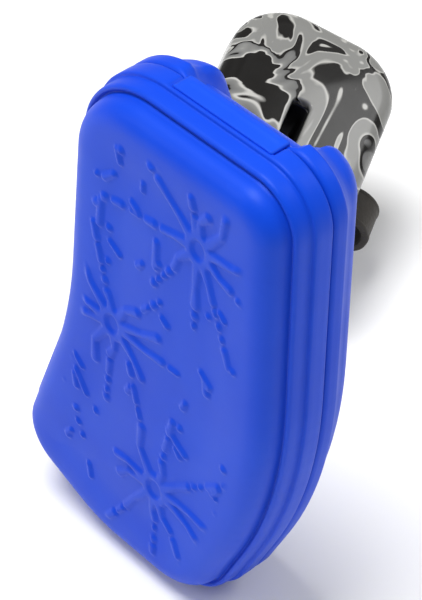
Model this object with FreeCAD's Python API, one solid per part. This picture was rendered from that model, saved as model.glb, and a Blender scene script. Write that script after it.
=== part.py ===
"""A lip-shield mouthguard and its two-shell carrying case.

Millimetres, +Z up. The case stands on its short end with its front face towards -Y; the parting plane of
its two shells is Y = 0, and the origin is the middle of the flat foot, on that plane. The mouthguard
stands on its side behind the case, towards +Y.
"""
import FreeCAD, Part
import math
import os

V = FreeCAD.Vector

# ---- case: outline, seen from the front ----
case_height = 130.0
top_right_x = 41.0
top_left_x = -19.0
waist_x = -26.0
waist_z = 63.0
lobe_x = -45.5
lobe_z = 12.5
foot_left_x = -16.0
foot_right_x = 17.0
hip_x = 39.5
hip_z = 47.5
top_right_radius = 12.0
top_left_radius = 21.0
waist_radius = 125.0
lobe_radius = 14.0
foot_left_radius = 37.0
foot_right_radius = 20.0
hip_radius = 127.0

# ---- case: depths and walls ----
front_depth = 14.0
front_rim_depth = 4.6
front_band_depth = 8.6
band_step = 0.8
crease_inset = 2.4
face_edge_radius = 5.0
rear_depth = 12.5
rear_rim_depth = 3.8
rear_shoulder_inset = 2.4
rear_shoulder_depth = 6.2
rear_edge_inset = 9.5
wall = 2.2
parting_clearance = 0.3

# ---- case: closure bead and living hinge ----
bead_inset = 1.9
bead_width = 1.2
bead_height = 1.5
bead_clearance = 0.3
bead_below_hinge = 24.0
hinge_left_x = 0.5
hinge_right_x = 27.5
hinge_film = 0.9
hinge_reach = 3.4
hinge_seat = 1.2
hinge_scoop_back = 8.5
hinge_scoop_drop = 9.0
hinge_axis_rise = 0.35
film_clearance = 0.1

# ---- lip shield ----
shield_width = 42.0
shield_length = 64.0
shield_depth = 12.0
shield_corner_radius = 14.5
shield_edge_radius = 5.0
shield_wall = 2.2
pad_thickness = 5.0
pad_clearance = 0.2

# ---- airway between the shield and the mouthpiece ----
airway_width = 4.8
airway_length = 16.0
duct_wall = 2.0
socket_wall = 2.2
socket_clearance = 0.3
socket_proud = 1.0
duct_end_gap = 1.0
duct_reach = 20.0

# ---- mouthpiece ----
arch_half_width = 23.0
arch_gap = 4.0
arch_arm = 10.0
tray_width = 15.0
tray_wall = 2.0
bite_plate = 2.4
cheek_wall_height = 9.0
tongue_wall_height = 7.0
liner_thickness = 2.6
bite_pad_length = 14.0
bite_pad_thickness = 2.2
bite_pad_margin = 2.5

# ---- tether strap ----
strap_width = 9.0
strap_thickness = 2.0
strap_root_radius = 3.0
strap_loop_radius = 6.5
strap_tail = 20.0
strap_exit_margin = 3.0
strap_overhang = 8.0
strap_return = 14.0
strap_drop = 2.0
anchor_block = 6.0
anchor_width = 13.0
button_radius = 2.2
button_head_radius = 3.6
button_head_thickness = 1.4
button_end_margin = 6.0
button_clearance = 0.15

# ---- where the mouthguard stands ----
guard_lean = 75.0
guard_roll = 23.0
guard_turn = 33.0
guard_x = -53.6
guard_y = 76.6


def case_corners():
    """The case's outline as corners (x, z, radius), anticlockwise from the top right."""
    return [
        (top_right_x, case_height, top_right_radius),
        (top_left_x, case_height, top_left_radius),
        (waist_x, waist_z, waist_radius),
        (lobe_x, lobe_z, lobe_radius),
        (foot_left_x, 0.0, foot_left_radius),
        (foot_right_x, 0.0, foot_right_radius),
        (hip_x, hip_z, hip_radius),
    ]


def rectangle_corners(width, length, radius):
    """A rounded rectangle as corners (x, z, radius), anticlockwise."""
    x = width / 2
    z = length / 2
    return [
        (x, z, radius),
        (-x, z, radius),
        (-x, -z, radius),
        (x, -z, radius),
    ]


def unit(a, b):
    """The unit vector from point a to point b."""
    length = math.hypot(b[0] - a[0], b[1] - a[1])
    return ((b[0] - a[0]) / length, (b[1] - a[1]) / length)


def inset_corners(corners, inset):
    """The same outline moved inwards by inset: its sides stay parallel and its arcs keep their centres."""
    moved = []
    count = len(corners)
    for i, (x, z, radius) in enumerate(corners):
        before = unit(corners[i - 1], (x, z))
        after = unit((x, z), corners[(i + 1) % count])
        turn = before[0] * after[1] - before[1] * after[0]
        along = (before[0] * after[0] + before[1] * after[1] + 1.0) / 2.0
        inward = ((-before[1] - after[1]) / 2.0, (before[0] + after[0]) / 2.0)
        new_radius = radius - inset if turn > 0 else radius + inset
        moved.append((x + inward[0] * inset / along, z + inward[1] * inset / along, new_radius))
    return moved


def outline_wire(corners, y):
    """The closed wire of straight sides and tangent arcs, in the plane at depth y."""
    count = len(corners)
    edges = []
    ends = []
    for i, (x, z, radius) in enumerate(corners):
        before = unit(corners[i - 1], (x, z))
        after = unit((x, z), corners[(i + 1) % count])
        across = before[0] * after[1] - before[1] * after[0]
        turn = math.atan2(across, before[0] * after[0] + before[1] * after[1])
        reach = radius * math.tan(abs(turn) / 2)
        start = V(x - before[0] * reach, y, z - before[1] * reach)
        end = V(x + after[0] * reach, y, z + after[1] * reach)
        bisector = unit((0, 0), (after[0] - before[0], after[1] - before[1]))
        to_arc = radius / math.cos(turn / 2) - radius
        middle = V(x + bisector[0] * to_arc, y, z + bisector[1] * to_arc)
        ends.append((start, middle, end))
    for i, (start, middle, end) in enumerate(ends):
        edges.append(Part.Arc(start, middle, end).toShape())
        edges.append(Part.LineSegment(end, ends[(i + 1) % count][0]).toShape())
    return Part.Wire(edges)


def slab(corners, y_from, y_to):
    """The outline as a solid between two depths."""
    face = Part.Face(outline_wire(corners, y_from))
    return face.extrude(V(0, y_to - y_from, 0))


def box(x_from, x_to, y_from, y_to, z_from, z_to):
    """A box between two corners."""
    return Part.makeBox(x_to - x_from, y_to - y_from, z_to - z_from, V(x_from, y_from, z_from))


def rounded_slab(corners, y_from, y_to, radius):
    """A slab whose edge at the y_to end is rounded."""
    body = slab(corners, y_from, y_to)
    rim = [e for e in body.Edges if all(abs(v.Point.y - y_to) < 1e-6 for v in e.Vertexes)]
    return body.makeFillet(radius, rim)


def ruled_step(corners, inset_from, y_from, inset_to, y_to):
    """A sloping band of the shell, from one inset outline to the next."""
    lower = outline_wire(inset_corners(corners, inset_from), y_from)
    upper = outline_wire(inset_corners(corners, inset_to), y_to)
    return Part.makeLoft([lower, upper], True, True)


def fused(pieces):
    """One solid from several that touch."""
    body = pieces[0]
    for piece in pieces[1:]:
        body = body.fuse(piece)
    return body.removeSplitter()


def bead_ring(inset, width, y_from, y_to, end_gap):
    """The closure ring that follows the rim, left out beside the hinge."""
    corners = case_corners()
    ring = slab(inset_corners(corners, inset), y_from, y_to)
    ring = ring.cut(slab(inset_corners(corners, inset + width), y_from - 1, y_to + 1))
    top = case_height - bead_below_hinge + end_gap
    return ring.cut(box(-200, 200, -50, 50, top, case_height + 50))


def hinge_recess(depth):
    """The shallow pocket in the top edges that the hinge film lies in."""
    reach = hinge_reach + film_clearance
    left = hinge_left_x - film_clearance
    right = hinge_right_x + film_clearance
    return box(left, right, -reach, hinge_seat, case_height - depth, case_height + 5)


def hinge_scoop():
    """The sloping notch that breaks the rear rim behind the hinge film, so that the lid can swing right over."""
    left = hinge_left_x - film_clearance
    top = case_height + 5
    corners = [
        V(left, hinge_seat, case_height),
        V(left, hinge_scoop_back, case_height - hinge_scoop_drop),
        V(left, hinge_scoop_back + 20, case_height - hinge_scoop_drop),
        V(left, hinge_scoop_back + 20, top),
        V(left, hinge_seat, top),
        V(left, hinge_seat, case_height),
    ]
    face = Part.Face(Part.makePolygon(corners))
    return face.extrude(V(hinge_right_x - hinge_left_x + 2 * film_clearance, 0, 0))


def hinge_block(outer):
    """The solid backing under the scoop, inside the rear shell's outer form."""
    low = case_height - hinge_scoop_drop - 2 * wall
    block = box(hinge_left_x - wall, hinge_right_x + wall, parting_clearance / 2, rear_depth, low, case_height)
    return block.common(outer)


def front_shell():
    """The lid: a stepped rim, a crease, and a face with a broad rounded edge."""
    corners = case_corners()
    parting = -parting_clearance / 2
    rim = slab(corners, parting, -front_rim_depth)
    band = slab(inset_corners(corners, band_step), parting, -front_band_depth)
    dome = rounded_slab(inset_corners(corners, crease_inset), parting, -front_depth, face_edge_radius)
    shell = fused([rim, band, dome])
    inner = inset_corners(corners, crease_inset + wall)
    shell = shell.cut(rounded_slab(inner, 1.0, wall - front_depth, face_edge_radius - wall / 2))
    bead = bead_ring(bead_inset, bead_width, parting - 0.01, bead_height, 0.0)
    return shell.fuse(bead).cut(hinge_recess(hinge_film + film_clearance))


def rear_shell():
    """The base: a narrower rim, a shoulder, and a low crowned back with the groove for the bead."""
    corners = case_corners()
    parting = parting_clearance / 2
    rim = slab(corners, parting, rear_rim_depth)
    shoulder = ruled_step(corners, band_step, rear_rim_depth, rear_shoulder_inset, rear_shoulder_depth)
    back = ruled_step(corners, rear_shoulder_inset, rear_shoulder_depth, rear_edge_inset, rear_depth)
    outer = fused([rim, shoulder, back])
    inner_mouth = slab(inset_corners(corners, crease_inset + wall), -1.0, rear_shoulder_depth - wall / 2)
    inner_back = ruled_step(corners, crease_inset + wall, rear_shoulder_depth - wall / 2,
                            rear_edge_inset + wall, rear_depth - wall)
    shell = outer.cut(inner_mouth.fuse(inner_back)).fuse(hinge_block(outer)).removeSplitter()
    shell = shell.cut(hinge_scoop())
    groove = bead_ring(bead_inset - bead_clearance, bead_width + 2 * bead_clearance, -1.0,
                       bead_height + bead_clearance, bead_clearance)
    shell = shell.cut(groove)
    return shell.cut(hinge_recess(hinge_film))


def living_hinge():
    """The thin moulded film that joins the two top edges."""
    return box(hinge_left_x, hinge_right_x, -hinge_reach, hinge_seat, case_height - hinge_film, case_height)


def shield_corners():
    """The lip shield's outline in its own frame: X across the lips, Z along them."""
    return rectangle_corners(shield_width, shield_length, shield_corner_radius)


def duct_corners():
    """The outside of the airway duct."""
    across = airway_width + 2 * duct_wall
    along = airway_length + 2 * duct_wall
    return rectangle_corners(across, along, duct_wall)


def airway_corners():
    """The airway itself."""
    return rectangle_corners(airway_width, airway_length, airway_width / 3)


def socket_corners():
    """The outside of the shield's socket, which takes the duct with a clearance all round."""
    return inset_corners(duct_corners(), -socket_clearance - socket_wall)


def lip_shield():
    """The hard printed cover: a rounded tray, open at the back, with the airway through its face."""
    body = rounded_slab(shield_corners(), 0.0, -shield_depth, shield_edge_radius)
    inner = inset_corners(shield_corners(), shield_wall)
    body = body.cut(rounded_slab(inner, 1.0, shield_wall - shield_depth, shield_edge_radius - shield_wall))
    return body.cut(slab(airway_corners(), 1.0, -shield_depth - 1.0))


def shield_pad():
    """The soft pad that fills the bottom of the shield, round the socket."""
    front = shield_wall - shield_depth
    body = rounded_slab(inset_corners(shield_corners(), shield_wall + pad_clearance), front + pad_thickness,
                        front, shield_edge_radius - shield_wall)
    body = body.cut(slab(socket_corners(), front - 1.0, front + pad_thickness + 1.0))
    return body.cut(strap_seat())


def airway_socket():
    """The sleeve on the shield's back that the duct plugs into."""
    front = shield_wall - shield_depth
    body = slab(socket_corners(), front, socket_proud)
    bore = slab(inset_corners(duct_corners(), -socket_clearance), front - duct_end_gap + 1.0, socket_proud + 1.0)
    return body.cut(bore)


def airway_duct():
    """The breathing tube under the bite plate, from the shield into the mouth."""
    front = shield_wall - shield_depth + duct_end_gap
    tube = slab(duct_corners(), front, duct_reach)
    return tube.cut(slab(airway_corners(), front - 1.0, duct_reach + 1.0))


def arch_slab(half_width, arm_end, x_from, x_to):
    """A U-shaped plate: half a disc at the front and straight arms back to arm_end."""
    centre_y = arch_gap + arch_half_width
    start = V(x_from, arm_end, half_width)
    side = V(x_from, centre_y, half_width)
    front = V(x_from, centre_y - half_width, 0)
    other = V(x_from, centre_y, -half_width)
    end = V(x_from, arm_end, -half_width)
    edges = [
        Part.LineSegment(start, side).toShape(),
        Part.Arc(side, front, other).toShape(),
        Part.LineSegment(other, end).toShape(),
        Part.LineSegment(end, start).toShape(),
    ]
    return Part.Face(Part.Wire(edges)).extrude(V(x_to - x_from, 0, 0))


def arch_band(outer_half, inner_half, arm_end, x_from, x_to):
    """The U between two arch outlines, as a plate from x_from to x_to."""
    outer = arch_slab(outer_half, arm_end, x_from, x_to)
    return outer.cut(arch_slab(inner_half, arm_end + 1.0, x_from - 1.0, x_to + 1.0))


def plate_x():
    """The two faces of the bite plate: the one against the duct, then the one under the teeth."""
    under = -airway_width / 2 - duct_wall
    return under, under - bite_plate


def arm_end_y():
    """How far back the mouthpiece's arms reach."""
    return arch_gap + arch_half_width + arch_arm


def mouthpiece_tray():
    """The U-shaped tray for the upper teeth: bite plate, cheek wall and tongue wall."""
    under, top = plate_x()
    inner_half = arch_half_width - tray_width
    arm = arm_end_y()
    plate = arch_band(arch_half_width, inner_half, arm, top, under)
    cheek = arch_band(arch_half_width, arch_half_width - tray_wall, arm, top - cheek_wall_height, top)
    tongue = arch_band(inner_half + tray_wall, inner_half, arm, top - tongue_wall_height, top)
    return fused([plate, cheek, tongue])


def fit_liner():
    """The gel that takes the bite, in the bottom of the tray."""
    top = plate_x()[1]
    outer_half = arch_half_width - tray_wall
    inner_half = arch_half_width - tray_width + tray_wall
    return arch_band(outer_half, inner_half, arm_end_y(), top - liner_thickness, top)


def bite_pad(side):
    """One firm pad under the molars; side is +1 or -1."""
    under = plate_x()[0]
    inner = arch_half_width - tray_width + bite_pad_margin
    outer = arch_half_width - bite_pad_margin
    y_to = arm_end_y() - bite_pad_margin
    z_from, z_to = sorted((side * inner, side * outer))
    pad = box(under, under + bite_pad_thickness, y_to - bite_pad_length, y_to, z_from, z_to)
    upright = [e for e in pad.Edges if abs(e.Vertexes[0].Point.x - e.Vertexes[1].Point.x) > 1e-6]
    return pad.makeFillet(bite_pad_margin, upright)


def strap_start():
    """Where the strap leaves its anchor, near the shield's lower wall: (x, y)."""
    x = shield_width / 2 - shield_edge_radius - anchor_block / 2
    return x, shield_wall - shield_depth + pad_thickness


def strap_seat():
    """The pocket in the pad for the strap's anchor block."""
    x = strap_start()[0]
    front = shield_wall - shield_depth
    return box(x - anchor_block / 2, x + anchor_block / 2, front - 1.0, front + pad_thickness + 1.0,
               -strap_drop - anchor_width / 2, -strap_drop + anchor_width / 2)


def strap_anchor():
    """The block under the pad that holds the strap's root."""
    x, y = strap_start()
    front = shield_wall - shield_depth
    half = anchor_block / 2 - film_clearance
    half_width = anchor_width / 2 - film_clearance
    return box(x - half, x + half, front, y, -strap_drop - half_width, -strap_drop + half_width)


def strap_route():
    """The strap's bends (x, y, radius) from its root: out behind the shield, round, and back further behind."""
    x, y = strap_start()
    far_x = shield_width / 2 + strap_overhang
    behind = strap_exit_margin
    tail_y = behind + strap_return
    return [
        (x, y, 0.0),
        (x, behind, strap_root_radius),
        (far_x, behind, strap_loop_radius),
        (far_x, tail_y, strap_loop_radius),
        (far_x - strap_tail, tail_y, 0.0),
    ]


def ribbon_side(route, offset):
    """The route's line moved sideways by offset, as edges from its first end to its last."""
    lines = []
    for a, b in zip(route, route[1:]):
        u = unit(a, b)
        lines.append(((a[0] - u[1] * offset, a[1] + u[0] * offset), u))
    points = [lines[0][0]]
    for (p, u), (q, w) in zip(lines, lines[1:]):
        cross = u[0] * w[1] - u[1] * w[0]
        step = ((q[0] - p[0]) * w[1] - (q[1] - p[1]) * w[0]) / cross
        points.append((p[0] + u[0] * step, p[1] + u[1] * step))
    last, u = lines[-1]
    run = math.hypot(route[-1][0] - route[-2][0], route[-1][1] - route[-2][1])
    points.append((last[0] + u[0] * run, last[1] + u[1] * run))
    edges = []
    here = V(points[0][0], points[0][1], 0)
    for i in range(1, len(points) - 1):
        before = unit(points[i - 1], points[i])
        after = unit(points[i], points[i + 1])
        across = before[0] * after[1] - before[1] * after[0]
        turn = math.atan2(across, before[0] * after[0] + before[1] * after[1])
        radius = route[i][2] - offset * math.copysign(1.0, turn)
        reach = radius * math.tan(abs(turn) / 2)
        start = V(points[i][0] - before[0] * reach, points[i][1] - before[1] * reach, 0)
        end = V(points[i][0] + after[0] * reach, points[i][1] + after[1] * reach, 0)
        bisector = unit((0, 0), (after[0] - before[0], after[1] - before[1]))
        to_arc = radius / math.cos(turn / 2) - radius
        middle = V(points[i][0] + bisector[0] * to_arc, points[i][1] + bisector[1] * to_arc, 0)
        edges.append(Part.LineSegment(here, start).toShape())
        edges.append(Part.Arc(start, middle, end).toShape())
        here = end
    edges.append(Part.LineSegment(here, V(points[-1][0], points[-1][1], 0)).toShape())
    return edges


def button_x():
    """Where along the tail the button sits."""
    return strap_route()[-1][0] + button_end_margin


def tether_strap():
    """The flat moulded strap, standing on its edge, with the button's hole near its end."""
    route = strap_route()
    one = ribbon_side(route, strap_thickness / 2)
    two = ribbon_side(route, -strap_thickness / 2)
    start_cap = Part.LineSegment(one[0].firstVertex().Point, two[0].firstVertex().Point).toShape()
    end_cap = Part.LineSegment(one[-1].lastVertex().Point, two[-1].lastVertex().Point).toShape()
    wire = Part.Wire(Part.__sortEdges__(one + two + [start_cap, end_cap]))
    ribbon = Part.Face(wire).extrude(V(0, 0, strap_width))
    ribbon.translate(V(0, 0, -strap_drop - strap_width / 2))
    hole_y = strap_route()[-1][1]
    hole = Part.makeCylinder(button_radius + button_clearance, 4 * strap_thickness,
                             V(button_x(), hole_y - 2 * strap_thickness, -strap_drop), V(0, 1, 0))
    return ribbon.cut(hole)


def strap_button():
    """The mushroom button that closes the strap's loop round a face guard."""
    y = strap_route()[-1][1]
    half = strap_thickness / 2 + button_clearance
    axis = V(0, 1, 0)
    stem = Part.makeCylinder(button_radius, 2 * half, V(button_x(), y - half, -strap_drop), axis)
    front = Part.makeCylinder(button_head_radius, button_head_thickness,
                              V(button_x(), y - half - button_head_thickness, -strap_drop), axis)
    back = Part.makeCylinder(button_head_radius, button_head_thickness, V(button_x(), y + half, -strap_drop), axis)
    return fused([stem, front, back])


def guard_placement(lift):
    """The turn and place of the mouthguard's own frame in the case's frame."""
    lean = FreeCAD.Rotation(V(1, 0, 0), -guard_lean)
    roll = FreeCAD.Rotation(V(0, 1, 0), guard_roll)
    turn = FreeCAD.Rotation(V(0, 0, 1), guard_turn)
    return FreeCAD.Placement(V(guard_x, guard_y, lift), turn.multiply(roll.multiply(lean)))


def placed(shape, placement):
    """A copy of the shape, moved."""
    moved = shape.copy()
    moved.Placement = placement.multiply(moved.Placement)
    return moved


def case_pieces():
    """The case's pieces, closed and standing on its foot."""
    return {
        "case_front_shell": front_shell(),
        "case_rear_shell": rear_shell(),
        "case_living_hinge": living_hinge(),
    }


def guard_pieces():
    """The mouthguard's pieces, laid on the floor behind the case, face up on the mouthpiece."""
    pieces = {
        "lip_shield": lip_shield(),
        "shield_pad": shield_pad(),
        "airway_socket": airway_socket(),
        "airway_duct": airway_duct(),
        "mouthpiece_tray": mouthpiece_tray(),
        "fit_liner": fit_liner(),
        "bite_pad_left": bite_pad(1),
        "bite_pad_right": bite_pad(-1),
        "strap_anchor": strap_anchor(),
        "tether_strap": tether_strap(),
        "strap_button": strap_button(),
    }
    trial = guard_placement(0.0)
    lowest = min(placed(s, trial).optimalBoundingBox().ZMin for s in pieces.values())
    final = guard_placement(-lowest)
    print("mouthguard frame", final)
    return {name: placed(shape, final) for name, shape in pieces.items()}


os.makedirs("parts", exist_ok=True)
print("hinge axis height", case_height + hinge_axis_rise)
pieces = {**case_pieces(), **guard_pieces()}
for name, shape in pieces.items():
    print(name, "solids", len(shape.Solids), "volume", round(shape.Volume, 1), "valid", shape.isValid())
    shape.exportStep(f"parts/{name}.step")
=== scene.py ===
import math
import random

import bmesh
import bpy
import numpy as np
from mathutils import Euler, Matrix, Vector
from mathutils.geometry import delaunay_2d_cdt


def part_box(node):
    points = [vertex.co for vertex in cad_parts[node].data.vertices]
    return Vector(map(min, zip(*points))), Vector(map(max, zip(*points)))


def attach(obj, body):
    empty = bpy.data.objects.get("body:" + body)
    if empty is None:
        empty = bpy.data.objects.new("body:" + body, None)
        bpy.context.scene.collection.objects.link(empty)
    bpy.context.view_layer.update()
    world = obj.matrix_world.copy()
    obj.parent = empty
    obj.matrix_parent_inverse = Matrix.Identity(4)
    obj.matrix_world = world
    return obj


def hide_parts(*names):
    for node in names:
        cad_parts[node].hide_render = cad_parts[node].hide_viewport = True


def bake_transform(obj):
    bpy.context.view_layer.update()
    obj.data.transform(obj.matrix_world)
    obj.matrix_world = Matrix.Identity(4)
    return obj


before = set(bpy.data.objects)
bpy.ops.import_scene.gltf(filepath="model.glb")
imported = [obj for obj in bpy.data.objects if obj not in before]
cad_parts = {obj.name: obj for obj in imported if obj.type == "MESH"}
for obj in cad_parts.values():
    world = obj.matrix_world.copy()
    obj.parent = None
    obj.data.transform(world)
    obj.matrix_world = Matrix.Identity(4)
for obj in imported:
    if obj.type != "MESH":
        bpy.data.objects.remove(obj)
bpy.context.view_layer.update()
MM = 0.001

# ---- the case's two shells, in millimetres: (inset from the rim, depth from the parting plane) ----
RIM_PLANE = -4.6
FACE_INSET = 9.0
RIM_SAMPLES = 640
FRONT_SIDE = [(1.3, 0.15), (0.35, 0.15), (0.1, 0.25), (0.0, 0.6), (0.0, 1.6), (0.0, 3.0), (0.0, 4.1),
              (0.12, 4.45), (0.45, 4.62), (0.7, 4.62), (0.82, 4.8), (0.86, 5.3), (0.86, 6.6), (0.9, 7.7),
              (1.05, 8.25), (1.4, 8.55), (1.8, 8.6), (2.1, 8.35), (2.35, 7.95), (2.6, 8.2)]
FRONT_DOME_START = (2.7, 8.6)
FRONT_DOME_TOP = (8.6, 13.9)
FRONT_INSIDE = [(9.0, 11.7), (7.4, 11.55), (6.1, 11.0), (5.1, 9.9), (4.65, 8.4), (4.6, 6.0), (4.6, 3.0),
                (4.55, 0.6), (4.3, 0.15), (3.2, 0.15)]
REAR_SIDE = [(1.5, 0.15), (0.9, 0.15), (0.35, 0.45), (0.05, 0.95), (0.0, 1.4), (0.0, 2.4), (0.0, 3.2),
             (0.1, 3.6), (0.4, 3.85), (0.9, 4.1), (1.5, 4.8), (2.1, 5.7), (2.7, 6.6)]
REAR_CROWN_START = (2.9, 6.8)
REAR_CROWN_TOP = (11.0, 12.4)
REAR_INSIDE = [(11.0, 10.2), (9.0, 9.4), (7.0, 7.9), (5.4, 6.3), (4.7, 4.9), (4.6, 3.0), (4.55, 0.6),
               (4.3, 0.15), (3.45, 0.15)]
BEAD = [(3.1, 0.1), (3.08, -1.2), (2.85, -1.45), (2.2, -1.45), (1.95, -1.2), (1.9, 0.1)]
GROOVE = [(3.4, 0.3), (3.35, 1.7), (1.65, 1.7), (1.6, 0.3)]
BEAD_FADE = (104.5, 106.0)
RIM_DEPTH = 0.15
FACE_DISH = 0.55
FACE_CROWN = 0.35
BACK_CROWN = 0.3

# ---- round the hinge film, in millimetres: bands are below the case's top, ends are past the film's ----
FILM_THICKNESS = 0.9
FILM_ROLL = 0.25
FILM_EDGE_DROP = 0.12
FILM_BAND = (3.0, 1.6)
FILM_END = 0.9
FILM_REACH = (2.9, 3.9)
SCOOP_BAND = (14.0, 11.0)
SCOOP_END = 2.6
SCOOP_UNDER_FILM = 0.4
SCOOP_FLAT = 1.0
SCOOP_SLOPE = 1.08

# ---- how far apart the points of the filled faces are, in millimetres ----
BACK_SPACING = 1.6
SHIELD_SPACING = 1.3
PAD_SPACING = 0.45
HIDDEN_SPACING = 3.0

# ---- the raised splash on the face, in millimetres ----
RELIEF_HEIGHT = 0.55
RELIEF_SPACING = 0.5
BURSTS = [(19.0, 107.0, 15.0), (-7.0, 70.0, 15.0), (5.0, 31.0, 16.0)]

# ---- how the mouthguard lies, in degrees, and its parts in its own frame, in millimetres ----
GUARD_LEAN = 75.0
GUARD_ROLL = 23.0
GUARD_TURN = 33.0
SHIELD_WIDTH = 42.0
SHIELD_LENGTH = 64.0
SHIELD_CORNER = 14.5
SHIELD_SIDE = [(1.3, 0.05), (0.6, 0.1), (0.15, 0.45), (0.0, 1.2), (0.0, 3.0), (0.0, 5.0), (0.05, 7.0)]
SHIELD_EDGE_TOP = (5.0, 11.0)
SHIELD_INSIDE = [(7.0, 9.3), (5.2, 9.0), (3.6, 8.0), (2.7, 6.6), (2.3, 5.0), (2.2, 2.0), (2.15, 0.5),
                 (1.9, 0.1)]
SHIELD_CROWN = 0.95
SHIELD_CROWN_REACH = (-6.0, 16.0)
AIRWAY = (4.8, 16.0, 1.6)
DUCT = (8.8, 20.0, 2.0)
BORE = (9.4, 20.6, 2.3)
SOCKET = (13.8, 25.0, 4.5)
SOCKET_LENGTH = 10.8
SOCKET_BACK = 1.0
DUCT_FRONT = -8.8
DUCT_BACK = 20.0
ARCH_CENTRE = 27.0
ARM_END = 37.0
ARCH_OUTER = 23.0
ARCH_INNER = 8.0
PLATE_UNDER = -4.4
PLATE_TOP = -6.8
TRAY_WALL = 2.0
OUTER_WALL_HEIGHT = 9.0
INNER_WALL_HEIGHT = 7.0
BITE_PAD = (14.0, 10.0, 2.5)
BITE_PAD_SIDE = [(0.0, 0.0), (0.0, 0.6), (0.0, 1.3), (0.15, 1.7), (0.5, 2.0), (1.0, 2.15)]
BITE_PAD_FROM_ARM_END = 9.5
BITE_PAD_MIDDLE = 15.5
BITE_PAD_GROOVE = 0.55
BITE_PAD_GROOVE_PITCH = 3.2
STRAP_STEP = 0.7
STRAP_TIP = 4.0
STRAP_DROP = 2.0
STRAP_ROUTE = [(13.0, -4.8, 0.0), (13.0, 3.0, 3.0), (29.0, 3.0, 6.5), (29.0, 17.0, 6.5), (9.0, 17.0, 0.0)]
BUTTON_AT = (15.0, 17.0)
BUTTON_FLATTENING = 0.58
BUTTON_PROFILE = [(1.6, -4.3), (2.7, -4.1), (3.35, -3.7), (3.6, -3.1), (3.6, -2.75), (3.35, -2.5),
                  (2.4, -2.4), (2.2, -2.2), (2.2, 2.2), (2.4, 2.4), (3.4, 2.5), (3.6, 2.8), (3.6, 3.3),
                  (3.3, 3.8), (2.6, 4.15), (1.4, 4.3)]

# ---- the view: the camera looks down on the case from its right-hand front ----
VIEW_AZIMUTH = 47.7
VIEW_ELEVATION = 42.9
VIEW_DISTANCE = 0.530
VIEW_LENS = 157.0
VIEW_AIM = Vector((0.0022, 0.0048, 0.0713))
LIGHT_AIM = Vector((0.0, 0.0, 0.06))


# ---------------------------------------------------------------- materials
def hexed(r, g, b):
    """A display colour from 0 to 255 as the linear colour that a shader takes."""
    out = []
    for c in (r, g, b):
        c = c / 255
        out.append(c / 12.92 if c <= 0.04045 else ((c + 0.055) / 1.055) ** 2.4)
    return (*out, 1.0)


class Look:
    """A node material under construction, with short names for the nodes it uses."""

    def __init__(self, name, roughness, specular=0.5):
        self.material = bpy.data.materials.new(name)
        self.material.use_nodes = True
        self.tree = self.material.node_tree
        self.shader = self.tree.nodes["Principled BSDF"]
        self.shader.inputs["Roughness"].default_value = roughness
        self.shader.inputs["Specular IOR Level"].default_value = specular
        self.place = self.node("ShaderNodeTexCoord").outputs["Object"]

    def node(self, kind):
        return self.tree.nodes.new(kind)

    def link(self, out, into):
        self.tree.links.new(out, into)

    def noise(self, scale, detail=3.0, roughness=0.55, distortion=0.0, place=None):
        """A noise value at the piece's own coordinates, or at those given."""
        made = self.node("ShaderNodeTexNoise")
        made.inputs["Scale"].default_value = scale
        made.inputs["Detail"].default_value = detail
        made.inputs["Roughness"].default_value = roughness
        made.inputs["Distortion"].default_value = distortion
        self.link(place or self.place, made.inputs["Vector"])
        return made.outputs["Fac"]

    def ramp(self, value, stops):
        """A colour picked by a value from stops of (position, colour)."""
        made = self.node("ShaderNodeValToRGB")
        points = made.color_ramp.elements
        while len(points) < len(stops):
            points.new(0.5)
        for point, (at, colour) in zip(points, stops):
            point.position = at
            point.color = colour
        self.link(value, made.inputs["Fac"])
        return made.outputs["Color"]

    def scaled(self, value, low, high):
        """A value from 0 to 1, brought to the range from low to high."""
        made = self.node("ShaderNodeMapRange")
        made.inputs["To Min"].default_value = low
        made.inputs["To Max"].default_value = high
        self.link(value, made.inputs["Value"])
        return made.outputs["Result"]

    def bump(self, height, strength, distance, under=None):
        """A normal bent by a height, on top of another bump if one is given."""
        made = self.node("ShaderNodeBump")
        made.inputs["Strength"].default_value = strength
        made.inputs["Distance"].default_value = distance
        self.link(height, made.inputs["Height"])
        if under is not None:
            self.link(under, made.inputs["Normal"])
        return made.outputs["Normal"]

    def colour(self, out):
        self.link(out, self.shader.inputs["Base Color"])

    def normal(self, out):
        self.link(out, self.shader.inputs["Normal"])

    def rough(self, out):
        self.link(out, self.shader.inputs["Roughness"])


def grey(v):
    """A neutral colour of that display value, from 0 to 255."""
    return hexed(v, v, v)


def case_look(name, base, light):
    """Soft-touch moulded rubber: fine grain, faint flow clouds and slightly worn, shinier patches."""
    look = Look(name, 0.5, 0.2)
    look.shader.inputs["Specular Tint"].default_value = (0.30, 0.58, 1.0, 1.0)
    clouds = look.noise(22.0, 4.0, 0.6, 0.6)
    look.colour(look.ramp(clouds, [(0.32, base), (0.70, light)]))
    patches = look.noise(60.0, 3.0, 0.6)
    look.rough(look.scaled(patches, 0.42, 0.60))
    grain = look.bump(look.noise(2600.0, 2.0, 0.6), 0.16, 0.00012)
    waves = look.bump(look.noise(45.0, 2.0, 0.5), 0.10, 0.0011, grain)
    look.normal(waves)
    look.shader.inputs["Coat Weight"].default_value = 0.10
    look.shader.inputs["Coat Roughness"].default_value = 0.36
    look.shader.inputs["Sheen Weight"].default_value = 0.05
    look.shader.inputs["Sheen Roughness"].default_value = 0.45
    look.shader.inputs["Sheen Tint"].default_value = (0.55, 0.70, 1.0, 1.0)
    return look.material


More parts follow.
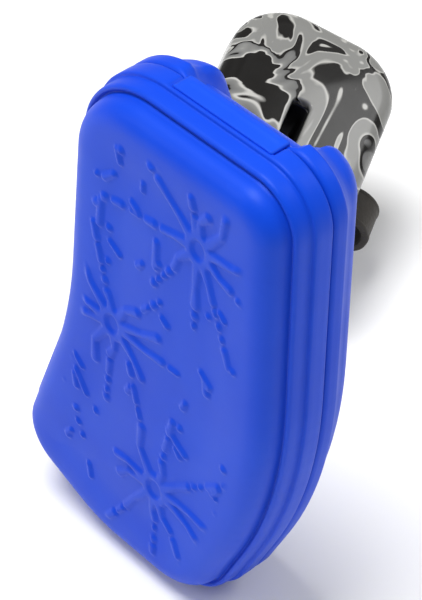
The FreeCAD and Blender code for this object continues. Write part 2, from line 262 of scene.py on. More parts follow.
def print_look():
    """A glossy film with a marbled print: a grey field, black pools and threads with pale borders."""
    look = Look("marbled_print", 0.34, 0.3)
    turned = look.node("ShaderNodeMapping")
    turned.inputs["Rotation"].default_value = (0.5, 0.35, 0.9)
    turned.inputs["Scale"].default_value = (1.0, 1.0, 0.72)
    look.link(look.place, turned.inputs["Vector"])
    flow = look.noise(37.0, 2.6, 0.44, 1.7, turned.outputs["Vector"])
    black = hexed(9, 7, 5)
    pale = hexed(176, 175, 170)
    field = hexed(122, 122, 119)
    dark = hexed(98, 98, 97)
    look.colour(look.ramp(flow, [
        (0.00, black), (0.420, black), (0.425, pale), (0.434, pale), (0.448, field), (0.488, dark),
        (0.492, black), (0.508, black), (0.512, pale), (0.526, field), (0.572, field), (0.582, pale),
        (0.588, black), (0.640, black), (0.645, pale), (0.660, field), (1.0, field)]))
    look.rough(look.scaled(look.noise(90.0, 3.0, 0.6), 0.18, 0.32))
    look.normal(look.bump(look.noise(500.0, 2.0, 0.5), 0.05, 0.0002))
    look.shader.inputs["Coat Weight"].default_value = 0.12
    look.shader.inputs["Coat Roughness"].default_value = 0.12
    return look.material


def moulded_look(name, base, light, roughness):
    """Plain moulded rubber or plastic: faint colour clouds and a fine grain."""
    look = Look(name, roughness, 0.45)
    look.colour(look.ramp(look.noise(70.0, 3.0, 0.6, 0.3), [(0.35, base), (0.68, light)]))
    look.rough(look.scaled(look.noise(160.0, 3.0, 0.6), roughness - 0.08, roughness + 0.08))
    look.normal(look.bump(look.noise(1500.0, 2.0, 0.6), 0.2, 0.00015))
    return look.material


def gel_look():
    """Milky gel that lets light through its surface."""
    look = Look("fit_gel", 0.28, 0.5)
    clouds = look.noise(90.0, 3.0, 0.5)
    look.colour(look.ramp(clouds, [(0.35, hexed(214, 220, 226)), (0.7, hexed(232, 236, 240))]))
    look.rough(look.scaled(look.noise(120.0), 0.22, 0.36))
    look.normal(look.bump(look.noise(380.0, 2.0, 0.5), 0.18, 0.0003))
    look.shader.inputs["Subsurface Weight"].default_value = 0.35
    look.shader.inputs["Subsurface Scale"].default_value = 0.004
    look.shader.inputs["Coat Weight"].default_value = 0.2
    return look.material


def strap_look():
    """Matte black strap with a fine woven emboss."""
    look = Look("strap_rubber", 0.62, 0.35)
    look.colour(look.ramp(look.noise(60.0, 3.0, 0.6), [(0.35, hexed(44, 41, 37)), (0.7, hexed(58, 54, 49))]))
    weave = look.node("ShaderNodeTexVoronoi")
    weave.inputs["Scale"].default_value = 1300.0
    look.link(look.place, weave.inputs["Vector"])
    fine = look.bump(weave.outputs["Distance"], 0.35, 0.00025)
    look.normal(look.bump(look.noise(240.0, 3.0, 0.6), 0.15, 0.0004, fine))
    look.rough(look.scaled(look.noise(200.0), 0.54, 0.72))
    return look.material


def floor_look():
    """A plain pale studio floor with a hardly visible tone."""
    look = Look("studio_floor", 0.75, 0.2)
    look.colour(look.ramp(look.noise(3.0, 2.0), [(0.3, grey(243)), (0.7, grey(246))]))
    return look.material


# ---------------------------------------------------------------- meshes
def new_piece(name, points, faces, material, body, nodes):
    """A mesh piece in metres, with its body, its finish and the CAD nodes it stands for."""
    mesh = bpy.data.meshes.new(name)
    mesh.from_pydata([tuple(p) for p in points], [], [tuple(f) for f in faces])
    mesh.update()
    mesh.validate()
    made = bpy.data.objects.new(name, mesh)
    bpy.context.scene.collection.objects.link(made)
    made.data.materials.append(material)
    for polygon in made.data.polygons:
        polygon.use_smooth = True
    if body:
        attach(made, body)
    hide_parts(*nodes)
    return made


def outward(piece):
    """Merges doubled points of a closed piece and turns its faces outwards."""
    work = bmesh.new()
    work.from_mesh(piece.data)
    bmesh.ops.remove_doubles(work, verts=work.verts, dist=1e-6)
    bmesh.ops.recalc_face_normals(work, faces=work.faces)
    work.to_mesh(piece.data)
    work.free()
    return piece


def rim_outline(node, depth, count):
    """The largest loop of a CAD shell in the plane y = depth (mm), evenly resampled, with outward normals."""
    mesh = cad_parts[node].data
    keys = {}
    places = []
    index = []
    for vertex in mesh.vertices:
        key = tuple(round(c * 1e5) for c in vertex.co)
        if key not in keys:
            keys[key] = len(places)
            places.append((vertex.co.x / MM, vertex.co.y / MM, vertex.co.z / MM))
        index.append(keys[key])
    flat = [abs(p[1] - depth) < 0.02 for p in places]
    beside = {}
    for polygon in mesh.polygons:
        if abs(polygon.normal.y) > 0.5:
            continue
        ring = [index[v] for v in polygon.vertices]
        for a, b in zip(ring, ring[1:] + ring[:1]):
            if flat[a] and flat[b] and a != b:
                beside.setdefault(a, set()).add(b)
                beside.setdefault(b, set()).add(a)
    best = []
    left = set(beside)
    while left:
        here = left.pop()
        loop = [here]
        while True:
            onward = [n for n in beside[loop[-1]] if n in left]
            if not onward:
                break
            left.discard(onward[0])
            loop.append(onward[0])
        if abs(area([places[i] for i in loop])) > abs(area([places[i] for i in best])):
            best = loop
    line = np.array([(places[i][0], places[i][2]) for i in best])
    if area([places[i] for i in best]) < 0:
        line = line[::-1]
    line = evenly(line, count)
    ahead = np.roll(line, -2, 0) - np.roll(line, 2, 0)
    normal = np.c_[ahead[:, 1], -ahead[:, 0]]
    normal /= np.linalg.norm(normal, axis=1, keepdims=True)
    for _ in range(4):
        normal = (np.roll(normal, 1, 0) + 2 * normal + np.roll(normal, -1, 0)) / 4
        normal /= np.linalg.norm(normal, axis=1, keepdims=True)
    return line, normal


def area(points):
    """The signed area inside a loop of (x, y, z) points, seen from the front."""
    total = 0.0
    for a, b in zip(points, points[1:] + points[:1]):
        total += a[0] * b[2] - b[0] * a[2]
    return total / 2


def evenly(line, count):
    """The closed line with count points, the same distance apart."""
    closed = np.vstack([line, line[:1]])
    run = np.r_[0, np.cumsum(np.linalg.norm(np.diff(closed, axis=0), axis=1))]
    at = np.linspace(0, run[-1], count, endpoint=False)
    return np.c_[np.interp(at, run, closed[:, 0]), np.interp(at, run, closed[:, 1])]


def smoothstep(low, high, x):
    """A smooth rise from 0 at low to 1 at high."""
    t = np.clip((x - low) / (high - low), 0, 1)
    return t * t * (3 - 2 * t)


def dome_curve(start, top, steps, power=0.85):
    """A rounded profile from the side to the face: a quarter of a soft ellipse."""
    curve = []
    for k in range(1, steps + 1):
        a = k / steps * math.pi / 2
        curve.append((start[0] + (top[0] - start[0]) * (1 - math.cos(a) ** power),
                      start[1] + (top[1] - start[1]) * math.sin(a) ** power))
    return curve


def level(depth):
    """The depth function of a flat fill."""
    return lambda place: np.full(len(place), depth)


class Shell:
    """A closed mesh: rings swept round an outline and joined in order, then closed by two filled faces."""

    def __init__(self, line, normal, sign):
        self.line = line
        self.normal = normal
        self.sign = sign
        self.points = []
        self.faces = []
        self.last = None
        self.count = len(line)

    def ring(self, inset, depth, shift=None):
        """Adds the outline, inset and at a depth, and joins it to the last ring; returns where it starts."""
        place = self.line - self.normal * inset
        y = np.full(self.count, depth * self.sign)
        made = np.c_[place[:, 0], y, place[:, 1]]
        if shift is not None:
            made = shift(made, depth)
        start = len(self.points)
        self.points.extend(made)
        if self.last is not None:
            self.join(self.last, start)
        self.last = start
        return start

    def sweep(self, profile, shift=None):
        """Adds a ring for each (inset, depth) of a profile; returns where the first and last start."""
        starts = [self.ring(inset, depth, shift) for inset, depth in profile]
        return starts[0], starts[-1]

    def outline(self, start):
        """A ring's points as (x, z)."""
        return np.array([(p[0], p[2]) for p in self.points[start:start + self.count]])

    def join(self, a, b):
        """Joins the rings that start at a and at b with a band of faces."""
        n = self.count
        for i in range(n):
            j = (i + 1) % n
            self.faces.append((a + i, a + j, b + j, b + i))

    def fill(self, ring_start, spacing, depth_of, hole=None):
        """Closes a ring with an even mesh, but for a hole, with its depth from a function of (x, z) points.

        It returns the points along the hole, in the hole's order."""
        ring = [self.points[ring_start + i] for i in range(self.count)]
        flat = [Vector((p[0], p[2])) for p in ring]
        low = np.min([tuple(p) for p in flat], axis=0)
        high = np.max([tuple(p) for p in flat], axis=0)
        border = np.array([tuple(p) for p in flat])
        xs = np.arange(low[0], high[0], spacing)
        zs = np.arange(low[1], high[1], spacing * 0.87)
        grid = np.array([(x + (spacing / 2 if k % 2 else 0), z) for k, z in enumerate(zs) for x in xs])
        keep = inside(grid, border) & (edge_distance(grid, border) > spacing * 0.6)
        n = self.count
        rim = []
        if hole is not None:
            keep &= ~inside(grid, hole) & (edge_distance(grid, hole) > spacing * 0.5)
            rim = [Vector(p) for p in hole]
        inner = [Vector(p) for p in grid[keep]]
        edges = [[i, (i + 1) % n] for i in range(n)]
        edges += [[n + i, n + (i + 1) % len(rim)] for i in range(len(rim))]
        verts, _, tris, origin, _, _ = delaunay_2d_cdt(flat + rim + inner, edges, [list(range(n))], 1, 1e-7)
        mapped = []
        place = np.array([tuple(v) for v in verts])
        depth = depth_of(place)
        lip = {}
        for k, source in enumerate(origin):
            owner = [s for s in source if s < n]
            if owner:
                mapped.append(ring_start + owner[0])
                continue
            for s in source:
                if s < n + len(rim):
                    lip[s - n] = len(self.points)
            mapped.append(len(self.points))
            self.points.append((place[k, 0], depth[k] * self.sign, place[k, 1]))
        centres = np.array([place[list(t)].mean(0) for t in tris])
        gone = inside(centres, hole) if hole is not None else np.zeros(len(tris), bool)
        for t, dropped in zip(tris, gone):
            if not dropped:
                self.faces.append(tuple(mapped[i] for i in t))
        return [lip[i] for i in range(len(rim))]

    def bridge(self, one, two):
        """Joins two loops of points of the same length with a band of faces."""
        n = len(one)
        for i in range(n):
            j = (i + 1) % n
            self.faces.append((one[i], one[j], two[j], two[i]))


def inside(points, border):
    """Which points lie inside a closed border."""
    x, z = points[:, 0], points[:, 1]
    hit = np.zeros(len(points), bool)
    for a, b in zip(border, np.roll(border, -1, 0)):
        if a[1] == b[1]:
            continue
        crosses = (a[1] > z) != (b[1] > z)
        at = (b[0] - a[0]) * (z - a[1]) / (b[1] - a[1]) + a[0]
        hit ^= crosses & (x < at)
    return hit


def edge_distance(points, border):
    """How far each point is from a closed border."""
    best = np.full(len(points), 1e9)
    for a, b in zip(border, np.roll(border, -1, 0)):
        ab = b - a
        t = np.clip(((points - a) @ ab) / max(ab @ ab, 1e-12), 0, 1)
        best = np.minimum(best, np.linalg.norm(points - (a + t[:, None] * ab), axis=1))
    return best


# ---------------------------------------------------------------- the raised splash
def splash_strokes():
    """The splash as strokes (x, z, x, z, width at each end): three bursts with arms, and drops between."""
    draw = random.Random(23)
    strokes = []
    for cx, cz, size in BURSTS:
        lean = draw.uniform(0, 40)
        for k in range(12):
            a, b = math.radians(k * 30 + lean), math.radians((k + 1) * 30 + lean)
            core = size * 0.19
            strokes.append((cx + core * math.cos(a), cz + core * 1.2 * math.sin(a),
                            cx + core * math.cos(b), cz + core * 1.2 * math.sin(b), 1.0, 1.0))
        arms = 10
        for k in range(arms):
            a = math.radians(k * 360 / arms + draw.uniform(-13, 13) + lean)
            reach = size * (1.0 if k % 3 == 0 else draw.uniform(0.5, 0.85))
            bend = a + draw.uniform(-0.22, 0.22)
            near, mid = size * 0.25, size * 0.25 + (reach - size * 0.25) * 0.55
            mx, mz = cx + mid * math.cos(a), cz + mid * math.sin(a)
            tip = (cx + reach * math.cos(bend), cz + reach * math.sin(bend))
            strokes.append((cx + near * math.cos(a), cz + near * math.sin(a), mx, mz, 1.15, 0.62))
            strokes.append((mx, mz, *tip, 0.62, draw.uniform(0.7, 1.1)))
            gap = reach + draw.uniform(2.0, 3.2)
            for _ in range(draw.choice((0, 1, 2, 3, 4))):
                run, w = draw.choice((0.3, 0.5, 2.2, 3.8)), draw.uniform(0.5, 0.9)
                strokes.append((cx + gap * math.cos(bend), cz + gap * math.sin(bend),
                                cx + (gap + run) * math.cos(bend), cz + (gap + run) * math.sin(bend),
                                w, w * 0.75))
                gap += run + draw.uniform(1.8, 3.2)
    for _ in range(90):
        x, z = draw.uniform(-27, 32), draw.uniform(14, 122)
        if min(math.hypot(x - bx, z - bz) / size for bx, bz, size in BURSTS) < 1.0:
            continue
        a = draw.uniform(0.7, 2.5)
        run, w = draw.choice((0.2, 0.3, 0.5, 1.8, 3.4, 6.5)), draw.uniform(0.45, 0.85)
        strokes.append((x, z, x + run * math.cos(a), z + run * math.sin(a), w, w * 0.7))
    return strokes


def splash_height(place):
    """The splash's height at each (x, z) point: rounded strokes with soft shoulders."""
    height = np.zeros(len(place))
    for x0, z0, x1, z1, w0, w1 in splash_strokes():
        a = np.array([x0, z0])
        ab = np.array([x1 - x0, z1 - z0])
        t = np.clip(((place - a) @ ab) / max(ab @ ab, 1e-9), 0, 1)
        off = np.linalg.norm(place - (a + t[:, None] * ab), axis=1)
        half = w0 + (w1 - w0) * t
        height = np.maximum(height, 1 - smoothstep(half * 0.55, half + 0.45, off))
    return height * RELIEF_HEIGHT


# ---------------------------------------------------------------- the case
def hinge_span():
    """Where the hinge film starts and ends along the top edge, in millimetres."""
    low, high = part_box("case_living_hinge")
    return low.x / MM, high.x / MM


def case_top():
    """The height of the case's top, in millimetres."""
    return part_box("case_rear_shell")[1].z / MM


def front_shift(made, depth):
    """Lowers the lid's top edge where the hinge film lies on it."""
    left, right = hinge_span()
    top = case_top()
    near = smoothstep(left - FILM_END, left, made[:, 0])
    near = near * (1 - smoothstep(right, right + FILM_END, made[:, 0]))
    near *= smoothstep(top - FILM_BAND[0], top - FILM_BAND[1], made[:, 2])
    floor = top - FILM_THICKNESS * (1 - smoothstep(*FILM_REACH, depth))
    made[:, 2] = np.where(made[:, 2] > floor, made[:, 2] * (1 - near) + floor * near, made[:, 2])
    return made


def fade_bead(made, _):
    """Lets the bead run out short of the hinge."""
    flat = smoothstep(*BEAD_FADE, made[:, 2])
    made[:, 1] = made[:, 1] * (1 - flat) - RIM_DEPTH * flat
    return made


def build_front():
    """The lid: side, dome and splashed face outside, then the inside, out to the bead and the rim again."""
    line, normal = rim_outline("case_front_shell", RIM_PLANE, RIM_SAMPLES)
    shell = Shell(line, normal, -1.0)
    dome = dome_curve(FRONT_DOME_START, FRONT_DOME_TOP, 16)
    first, _ = shell.sweep(FRONT_SIDE + dome, front_shift)
    face_ring = shell.ring(FACE_INSET, FRONT_DOME_TOP[1])
    border = shell.outline(face_ring)

    def face_depth(place):
        in_from = edge_distance(place, border)
        dish = FACE_DISH * smoothstep(0.0, 11.0, in_from)
        crown = FACE_CROWN * smoothstep(6.0, 26.0, in_from)
        return FRONT_DOME_TOP[1] - dish + crown + splash_height(place) * smoothstep(0.0, 2.0, in_from)

    shell.fill(face_ring, RELIEF_SPACING, face_depth)
    shell.last = None
    inner, _ = shell.sweep(FRONT_INSIDE)
    _, last = shell.sweep(BEAD, fade_bead)
    shell.join(last, first)
    shell.fill(inner, HIDDEN_SPACING, level(FRONT_INSIDE[0][1]))
    made = new_piece("case_lid_shell", np.array(shell.points) * MM, shell.faces, CASE, "case_lid",
                     nodes=("case_front_shell",))
    return outward(made)


def rear_shift(made, depth):
    """Breaks the rear rim behind the hinge film with a sloping scoop, rounded at both ends."""
    left, right = hinge_span()
    top = case_top()
    near = smoothstep(left - SCOOP_END, left + SCOOP_UNDER_FILM, made[:, 0])
    near = near * (1 - smoothstep(right - SCOOP_UNDER_FILM, right + SCOOP_END, made[:, 0]))
    floor = top - FILM_THICKNESS - SCOOP_SLOPE * max(0.0, depth - SCOOP_FLAT)
    lowered = np.minimum(made[:, 2], floor)
    use = near * smoothstep(top - SCOOP_BAND[0], top - SCOOP_BAND[1], made[:, 2])
    made[:, 2] = made[:, 2] * (1 - use) + lowered * use
    return made


def build_rear():
    """The base: side and crowned back outside, then the inside, out to the groove and the rim again."""
    # The outline is the lid's, because the scoop breaks the base's own.
    line, normal = rim_outline("case_front_shell", RIM_PLANE, RIM_SAMPLES // 2)
    shell = Shell(line, normal, 1.0)
    crown = dome_curve(REAR_CROWN_START, REAR_CROWN_TOP, 12, 0.95)
    first, back_ring = shell.sweep(REAR_SIDE + crown, rear_shift)
    border = shell.outline(back_ring)

    def back_depth(place):
        return REAR_CROWN_TOP[1] + BACK_CROWN * smoothstep(0.0, 16.0, edge_distance(place, border))

    shell.fill(back_ring, BACK_SPACING, back_depth)
    shell.last = None
    inner, last = shell.sweep(REAR_INSIDE + GROOVE)
    shell.join(last, first)
    shell.fill(inner, HIDDEN_SPACING, level(REAR_INSIDE[0][1]))
    made = new_piece("case_base_shell", np.array(shell.points) * MM, shell.faces, CASE, "case_base",
                     nodes=("case_rear_shell",))
    return outward(made)


def build_hinge():
    """The film, a thin strip with a shallow roll along its middle."""
    low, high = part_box("case_living_hinge")
    across = 20
    along = 40
    top_side = []
    for j in range(across + 1):
        t = j / across
        y = low.y + (high.y - low.y) * t
        roll = FILM_ROLL * math.exp(-((y / MM) / 0.9) ** 2)
        for i in range(along + 1):
            x = low.x + (high.x - low.x) * i / along
            edge = min(i, along - i, 3) / 3
            top_side.append((x, y, high.z + (roll * edge - FILM_EDGE_DROP * (1 - edge)) * MM))
    under = [(x, y, low.z) for x, y, _ in top_side]
    points = top_side + under
    n = len(top_side)
    row = along + 1
    faces = []
    for j in range(across):
        for i in range(along):
            a = j * row + i
            faces.append((a, a + 1, a + row + 1, a + row))
            faces.append((n + a, n + a + row, n + a + row + 1, n + a + 1))
    for i in range(along):
        faces.append((i, n + i, n + i + 1, i + 1))
        a = across * row + i
        faces.append((a, a + 1, n + a + 1, n + a))
    for j in range(across):
        a = j * row
        faces.append((a, a + row, n + a + row, n + a))
        a = j * row + along
        faces.append((a, n + a, n + a + row, a + row))
    # The film takes the case's rubber painted slightly lighter, as painted light on the top edge.
    made = new_piece("case_hinge_film", points, faces, FILM_PAINTED_LIGHT, None, nodes=("case_living_hinge",))
    outward(made)
    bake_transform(made)


# ---------------------------------------------------------------- the mouthguard
def guard_frame():
    """The mouthguard's own frame: X across the shield, Y out of its back, Z along it."""
    turn = Euler((0, 0, math.radians(GUARD_TURN))).to_matrix()
    roll = Euler((0, math.radians(GUARD_ROLL), 0)).to_matrix()
    lean = Euler((math.radians(-GUARD_LEAN), 0, 0)).to_matrix()
    turned = turn @ roll @ lean
    back = turned.transposed()
    local = np.array([tuple(back @ v.co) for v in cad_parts["lip_shield"].data.vertices])
    low, high = local.min(0), local.max(0)
    origin = turned @ Vector(((low[0] + high[0]) / 2, high[1], (low[2] + high[2]) / 2))
    return Matrix.Translation(origin) @ turned.to_4x4()


def in_guard(points):
    """Points in the mouthguard's own frame, in millimetres, moved to the row frame in metres."""
    return [GUARD @ (Vector(p) * MM) for p in points]


def rounded_rectangle(width, length, radius, count):
    """A rounded rectangle as a closed line of count points, evenly spaced, and its outward normals."""
    line = []
    arc_steps = 24
    for cx, cz, turn in ((1, 1, 0), (-1, 1, 90), (-1, -1, 180), (1, -1, 270)):
        for k in range(arc_steps):
            a = math.radians(turn + k * 90 / arc_steps)
            line.append((cx * (width / 2 - radius) + radius * math.cos(a),
                         cz * (length / 2 - radius) + radius * math.sin(a)))
    line = evenly(np.array(line), count)
    ahead = np.roll(line, -1, 0) - np.roll(line, 1, 0)
    normal = np.c_[ahead[:, 1], -ahead[:, 0]]
    return line, normal / np.linalg.norm(normal, axis=1, keepdims=True)


def build_shield():
    """The shield: a crowned face with broad round edges, thick sides, and a shallow hollow at its back."""
    line, normal = rounded_rectangle(SHIELD_WIDTH, SHIELD_LENGTH, SHIELD_CORNER, 320)
    shell = Shell(line, normal, -1.0)
    edge = dome_curve(SHIELD_SIDE[-1], SHIELD_EDGE_TOP, 14, 1.0)
    first, face_ring = shell.sweep(SHIELD_SIDE + edge)
    border = shell.outline(face_ring)
    crown_at_edge = SHIELD_CROWN * smoothstep(*SHIELD_CROWN_REACH, 0.0)

    def face_depth(place):
        crown = SHIELD_CROWN * smoothstep(*SHIELD_CROWN_REACH, edge_distance(place, border))
        return edge[-1][1] + crown - crown_at_edge

    wide = rounded_rectangle(AIRWAY[0] + 1.0, AIRWAY[1] + 1.0, AIRWAY[2] + 0.5, 72)[0]
    slot = rounded_rectangle(*AIRWAY, 72)[0]
    rim = shell.fill(face_ring, SHIELD_SPACING, face_depth, wide)
    shell.last = None
    inner, last = shell.sweep(SHIELD_INSIDE)
    shell.join(last, first)
    back = shell.fill(inner, HIDDEN_SPACING, level(SHIELD_INSIDE[0][1]), slot)
    throat = [rim]
    for share, depth in ((0.35, 11.75), (0.75, 11.55), (1.0, 11.1)):
        line = wide + (slot - wide) * share
        throat.append(list(range(len(shell.points), len(shell.points) + len(line))))
        shell.points.extend((p[0], -depth, p[1]) for p in line)
    for one, two in zip(throat, throat[1:] + [back]):
        shell.bridge(one, two)
    made = new_piece("lip_shield_shell", in_guard(shell.points), shell.faces, PRINT, "shield",
                     nodes=("lip_shield",))
    return outward(made)


def rounded_corners(corners, steps=5):
    """A closed line through corners (u, v, radius), each turned into an arc."""
    line = []
    n = len(corners)
    for i in range(n):
        a, b, c = (np.array(corners[(i + k) % n][:2], float) for k in (-1, 0, 1))
        radius = corners[i][2]
        to_a = (a - b) / np.linalg.norm(a - b)
        to_c = (c - b) / np.linalg.norm(c - b)
        half = math.acos(max(-1.0, min(1.0, float(to_a @ to_c)))) / 2
        reach = radius / math.tan(half)
        start, end = b + to_a * reach, b + to_c * reach
        for k in range(steps + 1):
            t = k / steps
            line.append((1 - t) ** 2 * start + 2 * t * (1 - t) * b + t * t * end)
    return line


def loft(name, sections, material, body, nodes):
    """A closed piece through sections of the same length, with a flat cap at each end."""
    n = len(sections[0])
    points = [p for section in sections for p in section]
    faces = []
    for k in range(len(sections) - 1):
        for i in range(n):
            j = (i + 1) % n
            faces.append((k * n + i, k * n + j, (k + 1) * n + j, (k + 1) * n + i))
    last = (len(sections) - 1) * n
    faces.append(tuple(reversed(range(n))))
    faces.append(tuple(last + i for i in range(n)))
    made = new_piece(name, in_guard(points), faces, material, body, nodes=nodes)
    outward(made)
    return sharpen(made)


def sharpen(made, degrees=50):
    """Keeps edges that turn by more than this angle crisp under smooth shading."""
    made.data.set_sharp_from_angle(angle=math.radians(degrees))
    return made


def tube(name, outer, inner, front, back, soft, body, node):
    """A rounded tube along the airway, with rounded lips."""
    count = 96
    out = rounded_rectangle(*outer, count)
    bore = rounded_rectangle(*inner, count)
    rings = []
    slight = soft * 0.3
    middle = (front + back) / 2
    for (line, normal), inset, y in (
            (bore, 0.0, middle), (bore, 0.0, front + soft), (bore, -slight, front + slight),
            (bore, -soft, front), (out, soft, front), (out, slight, front + slight), (out, 0.0, front + soft),
            (out, 0.0, middle), (out, 0.0, back - soft), (out, slight, back - slight),
            (out, soft, back), (bore, -soft, back), (bore, -slight, back - slight), (bore, 0.0, back - soft)):
        place = line - normal * inset
        rings.append([(p[0], y, p[1]) for p in place])
    points = [p for ring in rings for p in ring]
    faces = []
    for k in range(len(rings)):
        after = (k + 1) % len(rings)
        for i in range(count):
            j = (i + 1) % count
            faces.append((k * count + i, k * count + j, after * count + j, after * count + i))
    made = new_piece(name, in_guard(points), faces, PLASTIC, body, nodes=(node,))
    outward(made)


def arch_path(steps=44, arm_steps=10, soft_end=0.9):
    """Stations along the mouthpiece's U: (angle or None, y on an arm, side, share drawn in)."""
    stations = []
    run = ARM_END - ARCH_CENTRE
    for side in (1, -1):
        arm = []
        for k in range(arm_steps + 1):
            arm.append((None, ARM_END - soft_end - (run - soft_end) * k / arm_steps, side, 0.0))
        ends = [(None, ARM_END, side, 0.6), (None, ARM_END - soft_end * 0.3, side, 0.2)]
        stations.append(ends + arm)
    bend = [(math.pi * k / steps, 0.0, 1, 0.0) for k in range(1, steps)]
    return stations[0] + bend + stations[1][::-1]


def arch_sections(section):
    """The sections (w, x) swept along the mouthpiece's U, as points in the mouthguard's frame."""
    middle = np.mean(np.array(section), axis=0)
    swept = []
    for angle, y, side, drawn in arch_path():
        ring = []
        for w, x in section:
            w = w + (middle[0] - w) * drawn * 0.08
            x = x + (middle[1] - x) * drawn * 0.10
            if angle is None:
                ring.append((x, y, side * w))
            else:
                ring.append((x, ARCH_CENTRE - w * math.sin(angle), w * math.cos(angle)))
        swept.append(ring)
    return swept


def build_mouthpiece():
    """The tray, its gel and the two pads under it."""
    outer_edge = PLATE_TOP - OUTER_WALL_HEIGHT
    inner_edge = PLATE_TOP - INNER_WALL_HEIGHT
    tray = rounded_corners([
        (ARCH_OUTER, PLATE_UNDER, 1.8), (ARCH_OUTER, outer_edge, 0.9),
        (ARCH_OUTER - TRAY_WALL, outer_edge, 0.9), (ARCH_OUTER - TRAY_WALL, PLATE_TOP, 0.5),
        (ARCH_INNER + TRAY_WALL, PLATE_TOP, 0.5), (ARCH_INNER + TRAY_WALL, inner_edge, 0.9),
        (ARCH_INNER, inner_edge, 0.9), (ARCH_INNER, PLATE_UNDER, 1.2)])
    loft("mouthpiece_tray_body", arch_sections(tray), BLACK, "mouthpiece",
         ("mouthpiece_tray",))
    gel = rounded_corners([
        (ARCH_OUTER - 2.05, PLATE_TOP - 0.02, 0.2), (ARCH_OUTER - 2.05, PLATE_TOP - 2.6, 0.6),
        (ARCH_OUTER - 4.6, PLATE_TOP - 1.9, 1.2), ((ARCH_OUTER + ARCH_INNER) / 2, PLATE_TOP - 1.1, 2.0),
        (ARCH_INNER + 4.6, PLATE_TOP - 1.9, 1.2),
        (ARCH_INNER + 2.05, PLATE_TOP - 2.6, 0.6), (ARCH_INNER + 2.05, PLATE_TOP - 0.02, 0.2)])
    loft("mouthpiece_gel", arch_sections(gel), GEL, "mouthpiece", ("fit_liner",))
    build_bite_pad("bite_pad_left", 1)
    build_bite_pad("bite_pad_right", -1)


def pad_depth(place):
    """The bite pad's thickness: grooves across its top, short of its long sides."""
    ridge = np.cos(place[:, 0] * 2 * math.pi / BITE_PAD_GROOVE_PITCH)
    across = smoothstep(0.2, 1.2, 3.8 - np.abs(place[:, 1]))
    return BITE_PAD_SIDE[-1][1] - BITE_PAD_GROOVE * smoothstep(0.35, 0.95, ridge) * across


def build_bite_pad(node, side):
    """A firm pad under one arm of the tray."""
    line, normal = rounded_rectangle(*BITE_PAD, 120)
    shell = Shell(line, normal, 1.0)
    first, last = shell.sweep(BITE_PAD_SIDE)
    shell.fill(last, PAD_SPACING, pad_depth)
    shell.fill(first, HIDDEN_SPACING, level(0.0))
    middle = ARM_END - BITE_PAD_FROM_ARM_END
    points = [(PLATE_UNDER + y, middle + x, side * BITE_PAD_MIDDLE + z) for x, y, z in shell.points]
    made = new_piece(node + "_body", in_guard(points), shell.faces, PAD, "mouthpiece",
                     nodes=(node,))
    outward(made)


def route_line(route, step):
    """The strap's line with rounded bends, as points (x, y) about step apart, and their side directions."""
    line = [np.array(route[0][:2], float)]
    for a, b, c in zip(route, route[1:], route[2:]):
        p, q, r = (np.array(v[:2], float) for v in (a, b, c))
        u, w = (q - p) / np.linalg.norm(q - p), (r - q) / np.linalg.norm(r - q)
        turn = math.atan2(u[0] * w[1] - u[1] * w[0], float(u @ w))
        reach = b[2] * math.tan(abs(turn) / 2)
        start = q - u * reach
        middle = start + np.array((-u[1], u[0])) * math.copysign(b[2], turn)
        count = max(4, int(abs(turn) * b[2] / step))
        for k in range(count + 1):
            angle = turn * k / count
            arm = start - middle
            line.append(middle + np.array((arm[0] * math.cos(angle) - arm[1] * math.sin(angle),
                                           arm[0] * math.sin(angle) + arm[1] * math.cos(angle))))
    line.append(np.array(route[-1][:2], float))
    fine = [line[0]]
    for a, b in zip(line, line[1:]):
        pieces = max(1, int(np.linalg.norm(b - a) / step))
        fine.extend(a + (b - a) * k / pieces for k in range(1, pieces + 1))
    fine = np.array(fine)
    ahead = np.gradient(fine, axis=0)
    ahead /= np.linalg.norm(ahead, axis=1, keepdims=True)
    return fine, np.c_[-ahead[:, 1], ahead[:, 0]]


def build_strap():
    """The flat strap with rounded edges and a shallow rib along each border, and the button in its tail."""
    line, side = route_line(STRAP_ROUTE, STRAP_STEP)
    section = rounded_corners([(1.0, 4.5, 0.55), (1.0, 3.6, 0.15), (0.86, 3.4, 0.15), (0.86, -3.4, 0.15),
                               (1.0, -3.6, 0.15), (1.0, -4.5, 0.55), (-1.0, -4.5, 0.55), (-1.0, -3.6, 0.15),
                               (-0.86, -3.4, 0.15), (-0.86, 3.4, 0.15), (-1.0, 3.6, 0.15),
                               (-1.0, 4.5, 0.55)], 3)
    sections = []
    total = len(line)
    for k, (p, n) in enumerate(zip(line, side)):
        tip = min(1.0, (total - 1 - k) * STRAP_STEP / STRAP_TIP)
        narrow = 0.45 + 0.55 * math.sqrt(max(0.0, 1 - (1 - tip) ** 2))
        sections.append([(p[0] + n[0] * u, p[1] + n[1] * u, v * narrow - STRAP_DROP) for u, v in section])
    loft("tether_strap_ribbon", sections, STRAP, "shield", ("tether_strap",))
    rings = []
    around = 40
    for radius, y in BUTTON_PROFILE:
        ring = []
        for k in range(around):
            a = 2 * math.pi * k / around
            ring.append((BUTTON_AT[0] + radius * math.cos(a), BUTTON_AT[1] + y * BUTTON_FLATTENING,
                         radius * math.sin(a) - STRAP_DROP))
        rings.append(ring)
    loft("strap_button_body", rings, PLASTIC, "shield", ("strap_button",))


def build_airway():
    """The mouthpiece's breathing tube, and the shield's socket that it plugs into."""
    tube("airway_duct_body", DUCT, AIRWAY, DUCT_FRONT, DUCT_BACK, 0.5, "mouthpiece", "airway_duct")
    socket_front = SOCKET_BACK - SOCKET_LENGTH
    tube("airway_socket_body", SOCKET, BORE, socket_front, SOCKET_BACK, 0.6, "shield", "airway_socket")


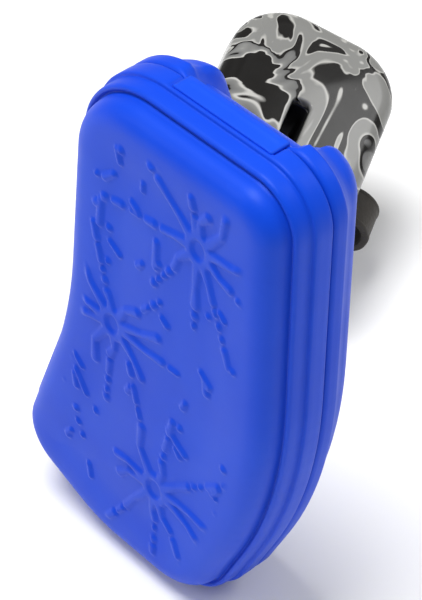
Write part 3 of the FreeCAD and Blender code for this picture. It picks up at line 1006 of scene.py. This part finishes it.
def build_scene_stage():
    """The studio's floor."""
    floor = bpy.data.meshes.new("studio_floor")
    half = 3.0
    corners = [(-half, -half, 0), (half, -half, 0), (half, half, 0), (-half, half, 0)]
    floor.from_pydata(corners, [], [(0, 1, 2, 3)])
    made = bpy.data.objects.new("studio_floor", floor)
    bpy.context.scene.collection.objects.link(made)
    made.data.materials.append(floor_look())


def direction(azimuth, elevation):
    """The way from the case to a place round it; azimuth 0 is its front."""
    a, e = math.radians(azimuth), math.radians(elevation)
    return Vector((math.sin(a) * math.cos(e), -math.cos(a) * math.cos(e), math.sin(e)))


def area_light(name, azimuth, elevation, distance, size, power):
    """A round softbox at a distance from the case, turned towards it."""
    lamp = bpy.data.lights.new(name, "AREA")
    lamp.shape = "DISK"
    lamp.size = size
    lamp.energy = power
    made = bpy.data.objects.new(name, lamp)
    bpy.context.scene.collection.objects.link(made)
    made.location = LIGHT_AIM + direction(azimuth, elevation) * distance
    made.rotation_euler = (LIGHT_AIM - made.location).to_track_quat("-Z", "Y").to_euler()


def build_lights():
    """An even white world and three softboxes."""
    world = bpy.data.worlds.new("studio_world")
    world.use_nodes = True
    world.node_tree.nodes["Background"].inputs["Color"].default_value = (1.0, 1.0, 1.0, 1.0)
    world.node_tree.nodes["Background"].inputs["Strength"].default_value = 0.42
    bpy.context.scene.world = world
    area_light("top_softbox", -35, 78, 1.2, 0.7, 15.5)
    area_light("front_left_softbox", -38, 33, 1.2, 0.55, 2.2)
    area_light("back_softbox", 150, 45, 1.3, 0.6, 4.0)


def build_camera():
    """The camera of the photo, and a view transform that keeps the white floor and the blue as they are."""
    lens = bpy.data.cameras.new("view")
    lens.lens = VIEW_LENS
    lens.sensor_width = 36.0
    lens.clip_start = 0.01
    made = bpy.data.objects.new("view", lens)
    bpy.context.scene.collection.objects.link(made)
    out = direction(VIEW_AZIMUTH, VIEW_ELEVATION)
    made.location = VIEW_AIM + out * VIEW_DISTANCE
    made.rotation_euler = (-out).to_track_quat("-Z", "Y").to_euler()
    bpy.context.scene.camera = made
    bpy.context.scene.view_settings.view_transform = "Standard"


CASE = case_look("case_rubber", hexed(4, 58, 193), hexed(8, 66, 201))
# The hinge film is the case's own rubber painted slightly lighter: painted light on the top-facing strip.
FILM_PAINTED_LIGHT = case_look("film_rubber_painted_light", hexed(6, 63, 198), hexed(12, 72, 206))
PRINT = print_look()
GEL = gel_look()
STRAP = strap_look()
BLACK = moulded_look("black_rubber", hexed(24, 24, 25), hexed(34, 34, 36), 0.5)
PLASTIC = moulded_look("black_plastic", hexed(20, 20, 21), hexed(28, 28, 30), 0.38)
PAD = moulded_look("grey_pad", hexed(92, 92, 96), hexed(108, 108, 112), 0.6)
GUARD = guard_frame()

build_camera()
build_scene_stage()
build_lights()
build_front()
build_rear()
build_hinge()
build_shield()
build_mouthpiece()
build_airway()
build_strap()
for node, material in {"shield_pad": BLACK, "strap_anchor": STRAP}.items():
    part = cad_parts[node]
    part.data.materials.clear()
    part.data.materials.append(material)
